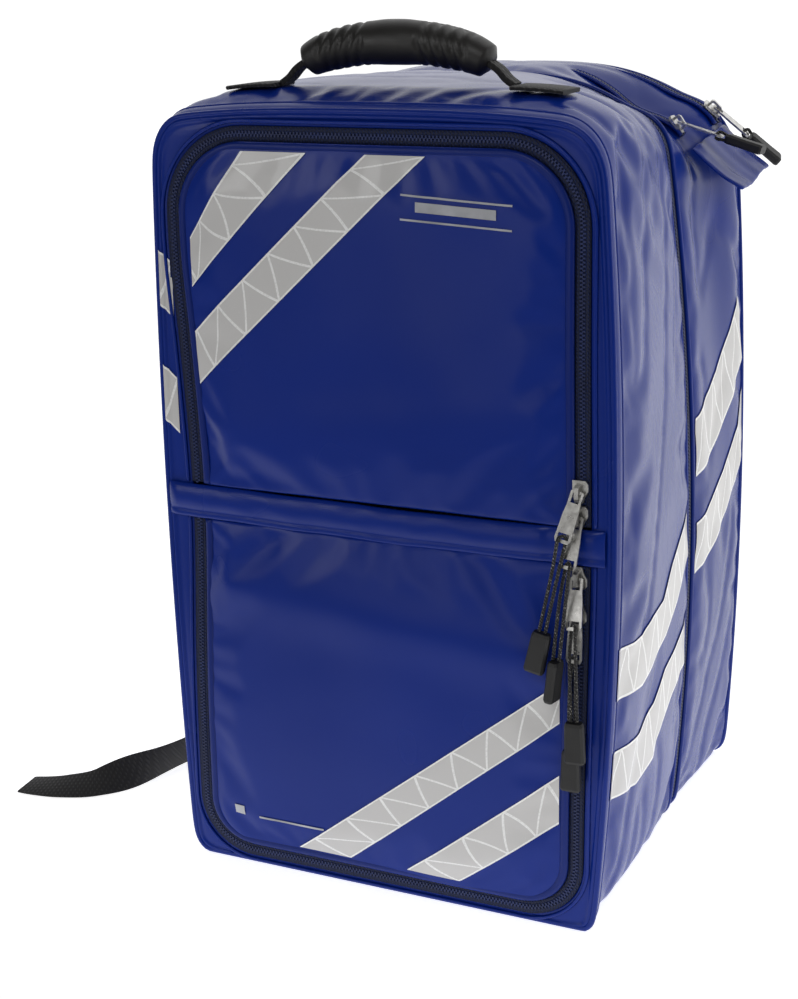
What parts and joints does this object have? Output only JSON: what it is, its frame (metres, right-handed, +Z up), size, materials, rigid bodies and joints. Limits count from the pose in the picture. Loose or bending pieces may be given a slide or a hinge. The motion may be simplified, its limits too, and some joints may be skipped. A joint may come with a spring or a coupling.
{
  "type": "trauma backpack",
  "caption": "Upright rescue backpack in coated fabric: clamshell body, two zipped front lids, padded carry handle, padded shoulder harness and zips with corded pulls.",
  "frame": {"origin": "centre of the flat base that the bag stands on", "axes": "+Z up, -Y out of the front with the two lids, +Y towards the wearer's back, +X to the wearer's right, the side with the zip pulls"},
  "size_m": [0.508, 0.3921, 0.5738],
  "materials": {
    "tarpaulin": "coated fabric, glossy",
    "zip_tape": "woven tape with moulded teeth",
    "webbing": "woven, matte",
    "foam_mesh": "spacer mesh over foam",
    "inner_sheet": "lined board, matte",
    "moulded_grip": "matte",
    "zinc": "satin plated",
    "pull_cord": "braided cord with pale flecks",
    "rubber": "matte",
    "buckle": "fine matte"
  },
  "bodies": {
    "rear_section": {"rear_shell": "tarpaulin", "frame_sheet": "inner_sheet", "back_panel": "foam_mesh", "back_pad_left": "foam_mesh", "back_pad_right": "foam_mesh", "lumbar_pad": "foam_mesh", "shoulder_yoke": "foam_mesh", "shoulder_strap_left": "foam_mesh", "shoulder_strap_right": "foam_mesh", "ladder_lock_left": "buckle", "ladder_lock_right": "buckle", "lower_webbing_left": "webbing", "lower_webbing_right": "webbing", "strap_tail_drop": "webbing", "strap_tail": "webbing", "main_zip_rear_half": "zip_tape", "top_zip_rear": "zip_tape", "top_zip_front": "zip_tape", "top_tongue": "tarpaulin"},
    "front_section": {"front_shell": "tarpaulin", "front_frame": "tarpaulin", "middle_band": "tarpaulin", "divider_panel": "inner_sheet", "compartment_shelf": "inner_sheet", "main_zip_front_half": "zip_tape", "upper_zip_outer_half": "zip_tape", "lower_zip_outer_half": "zip_tape", "handle_foot_left": "webbing", "handle_foot_right": "webbing"},
    "handle": {"handle_webbing": "webbing", "handle_grip": "moulded_grip"},
    "upper_lid": {"upper_lid_panel": "tarpaulin", "upper_zip_inner_half": "zip_tape"},
    "lower_lid": {"lower_lid_panel": "tarpaulin", "lower_zip_inner_half": "zip_tape"},
    "upper_a_slider_body": {"upper_a_slider": "zinc"},
    "upper_a_pull_body": {"upper_a_tab": "zinc", "upper_a_cord": "pull_cord", "upper_a_end": "rubber"},
    "upper_b_slider_body": {"upper_b_slider": "zinc"},
    "upper_b_pull_body": {"upper_b_tab": "zinc", "upper_b_cord": "pull_cord", "upper_b_end": "rubber"},
    "lower_b_slider_body": {"lower_b_slider": "zinc"},
    "lower_b_pull_body": {"lower_b_tab": "zinc", "lower_b_cord": "pull_cord", "lower_b_end": "rubber"},
    "lower_a_slider_body": {"lower_a_slider": "zinc"},
    "lower_a_pull_body": {"lower_a_tab": "zinc", "lower_a_cord": "pull_cord", "lower_a_end": "rubber"},
    "top_rear_slider_body": {"top_rear_slider": "zinc"},
    "top_rear_pull_body": {"top_rear_tab": "zinc", "top_rear_cord": "pull_cord", "top_rear_end": "rubber"},
    "top_front_slider_body": {"top_front_slider": "zinc"},
    "top_front_pull_body": {"top_front_tab": "zinc", "top_front_cord": "pull_cord", "top_front_end": "rubber"}
  },
  "joints": [
    {"name": "main_opening", "type": "hinge", "parent": "rear_section", "child": "front_section", "pos_m": [-0.16, 0.033, 0], "axis": [0, 0, -1], "range_deg": [0, 100], "deforming": ["strap_tail"]},
    {"name": "upper_lid_hinge", "type": "hinge", "parent": "front_section", "child": "upper_lid", "pos_m": [0, -0.155, 0.3147], "axis": [1, 0, 0], "range_deg": [0, 90]},
    {"name": "lower_lid_hinge", "type": "hinge", "parent": "front_section", "child": "lower_lid", "pos_m": [0, -0.155, 0.2083], "axis": [-1, 0, 0], "range_deg": [0, 90]},
    {"name": "handle_fold", "type": "hinge", "parent": "front_section", "child": "handle", "pos_m": [0, -0.11, 0.541], "axis": [1, 0, 0], "range_deg": [-50, 50]},
    {"name": "upper_a_slide", "type": "slide", "parent": "front_section", "child": "upper_a_slider_body", "axis": [0, 0, 1], "range_m": [0, 0.15]},
    {"name": "upper_b_slide", "type": "slide", "parent": "front_section", "child": "upper_b_slider_body", "axis": [0, 0, 1], "range_m": [0, 0.15]},
    {"name": "lower_b_slide", "type": "slide", "parent": "front_section", "child": "lower_b_slider_body", "axis": [0, 0, -1], "range_m": [0, 0.095]},
    {"name": "lower_a_slide", "type": "slide", "parent": "front_section", "child": "lower_a_slider_body", "axis": [0, 0, -1], "range_m": [0, 0.095]},
    {"name": "upper_a_swing", "type": "hinge", "parent": "upper_a_slider_body", "child": "upper_a_pull_body", "pos_m": [0.1375, -0.1584, 0.2995], "axis": [-1, 0, 0], "range_deg": [0, 90]},
    {"name": "upper_b_swing", "type": "hinge", "parent": "upper_b_slider_body", "child": "upper_b_pull_body", "pos_m": [0.1375, -0.1584, 0.2835], "axis": [-1, 0, 0], "range_deg": [0, 90]},
    {"name": "lower_b_swing", "type": "hinge", "parent": "lower_b_slider_body", "child": "lower_b_pull_body", "pos_m": [0.1375, -0.1584, 0.2445], "axis": [-1, 0, 0], "range_deg": [0, 90]},
    {"name": "lower_a_swing", "type": "hinge", "parent": "lower_a_slider_body", "child": "lower_a_pull_body", "pos_m": [0.1375, -0.1584, 0.222], "axis": [-1, 0, 0], "range_deg": [0, 90]},
    {"name": "top_rear_slide", "type": "slide", "parent": "rear_section", "child": "top_rear_slider_body", "axis": [-0.6728, 0, 0.7398], "range_m": [0, 0.02]},
    {"name": "top_rear_swing", "type": "hinge", "parent": "top_rear_slider_body", "child": "top_rear_pull_body", "pos_m": [0.1344, 0.136, 0.5046], "axis": [0.2301, -0.9397, -0.253], "range_deg": [0, 80]},
    {"name": "top_front_slide", "type": "slide", "parent": "rear_section", "child": "top_front_slider_body", "axis": [-0.5861, 0, 0.8102], "range_m": [0, 0.02]},
    {"name": "top_front_swing", "type": "hinge", "parent": "top_front_slider_body", "child": "top_front_pull_body", "pos_m": [0.123, 0.088, 0.4975], "axis": [0, -1, 0], "range_deg": [0, 80]}
  ],
  "couplings": [
    {"joint": "upper_b_slide", "follows": "upper_a_slide", "ratio": 1},
    {"joint": "lower_b_slide", "follows": "lower_a_slide", "ratio": 1},
    {"joint": "upper_a_swing", "follows": "lower_lid_hinge", "ratio": 1},
    {"joint": "upper_b_swing", "follows": "lower_lid_hinge", "ratio": 1},
    {"joint": "lower_b_swing", "follows": "lower_lid_hinge", "ratio": 1},
    {"joint": "lower_a_swing", "follows": "lower_lid_hinge", "ratio": 1}
  ]
}
